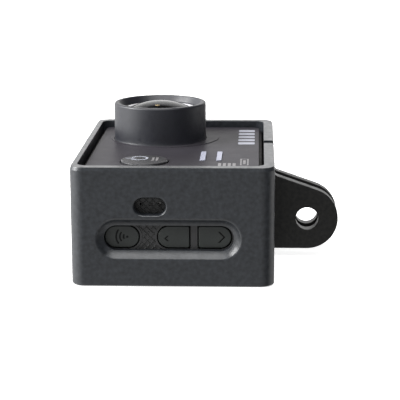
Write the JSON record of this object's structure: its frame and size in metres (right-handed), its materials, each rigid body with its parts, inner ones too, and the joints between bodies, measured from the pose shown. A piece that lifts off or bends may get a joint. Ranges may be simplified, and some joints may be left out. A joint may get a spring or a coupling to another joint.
{
  "type": "action camera",
  "caption": "Compact action camera with a domed wide-angle lens and side buttons, seated in an open frame mount with a split wall and two clamping ears.",
  "frame": {"origin": "middle of the whole object's box on the plane of the mount's back rim, on which it lies", "axes": "+Z out of the lens, square to the mount's back rim; +X from the camera's top edge towards the mount's ears; +Y from the side buttons towards the ports"},
  "size_m": [0.0608, 0.0634, 0.0348],
  "materials": {
    "mount_plastic": "satin moulded black polycarbonate, fine spark texture",
    "body_plastic": "matt black moulded plastic with a diamond pattern on the sides",
    "plate_metal": "satin dark grey lacquer on a thin metal plate",
    "hood_metal": "matt black anodised, finely turned",
    "trim_metal": "satin pale metal ring",
    "lens_glass": "coated dark optical glass",
    "button_plastic": "matt black plastic",
    "light_bar": "milky white light guide",
    "board": "green solder mask",
    "chip": "black moulding compound",
    "tin_plate": "bright tinned sheet",
    "battery_wrap": "black film",
    "contact_metal": "gold-plated contacts",
    "steel": "plain steel"
  },
  "bodies": {
    "mount": {"mount_frame": "mount_plastic"},
    "camera": {"battery": "battery_wrap", "battery_contacts": "contact_metal", "battery_door": "body_plastic", "battery_tray": "body_plastic", "body_band": "body_plastic", "card_socket": "tin_plate", "case_screw_1": "steel", "case_screw_2": "steel", "case_screw_3": "steel", "case_screw_4": "steel", "door_hinge_pin": "steel", "door_latch": "steel", "down_switch": "tin_plate", "front_bezel": "body_plastic", "front_glass": "lens_glass", "front_plate": "plate_metal", "hdmi_socket": "tin_plate", "image_sensor": "chip", "indicator_led_lower": "light_bar", "indicator_led_upper": "light_bar", "ir_filter": "lens_glass", "lcd_panel": "tin_plate", "lcd_window": "lens_glass", "lens_barrel": "body_plastic", "lens_holder": "body_plastic", "lens_hood": "hood_metal", "lens_trim_ring": "trim_metal", "light_guide_lower": "light_bar", "light_guide_upper": "light_bar", "main_board": "board", "memory_chip": "chip", "microphone": "tin_plate", "middle_lens": "lens_glass", "power_switch": "tin_plate", "processor_chip": "chip", "rear_cover": "body_plastic", "rear_lens": "lens_glass", "sensor_board": "board", "shutter_switch": "tin_plate", "side_button_board": "board", "speaker": "chip", "status_light": "light_bar", "up_switch": "tin_plate", "usb_socket": "tin_plate", "wifi_module": "tin_plate", "wifi_switch": "tin_plate"},
    "power_button": {"power_button": "body_plastic"},
    "shutter_button": {"shutter_button": "button_plastic"},
    "wifi_button": {"wifi_button": "button_plastic"},
    "up_button": {"up_button": "button_plastic"},
    "down_button": {"down_button": "button_plastic"},
    "memory_card": {"memory_card": "chip"}
  },
  "joints": [
    {"name": "camera_slide", "type": "slide", "parent": "mount", "child": "camera", "axis": [0, 0, 1], "range_m": [0, 0.026]},
    {"name": "power_button_press", "type": "slide", "parent": "camera", "child": "power_button", "axis": [0, 0, -1], "range_m": [0, 0.00035], "stiffness_N_per_m": 800, "springref_m": -0.0005},
    {"name": "shutter_button_press", "type": "slide", "parent": "camera", "child": "shutter_button", "axis": [1, 0, 0], "range_m": [0, 0.00035], "stiffness_N_per_m": 800, "springref_m": -0.0005},
    {"name": "wifi_button_press", "type": "slide", "parent": "camera", "child": "wifi_button", "axis": [0, 1, 0], "range_m": [0, 0.0004], "stiffness_N_per_m": 800, "springref_m": -0.0005},
    {"name": "up_button_press", "type": "slide", "parent": "camera", "child": "up_button", "axis": [0, 1, 0], "range_m": [0, 0.0004], "stiffness_N_per_m": 800, "springref_m": -0.0005},
    {"name": "down_button_press", "type": "slide", "parent": "camera", "child": "down_button", "axis": [0, 1, 0], "range_m": [0, 0.0004], "stiffness_N_per_m": 800, "springref_m": -0.0005},
    {"name": "memory_card_slide", "type": "slide", "parent": "camera", "child": "memory_card", "axis": [0, 1, 0], "range_m": [0, 0.016]}
  ]
}
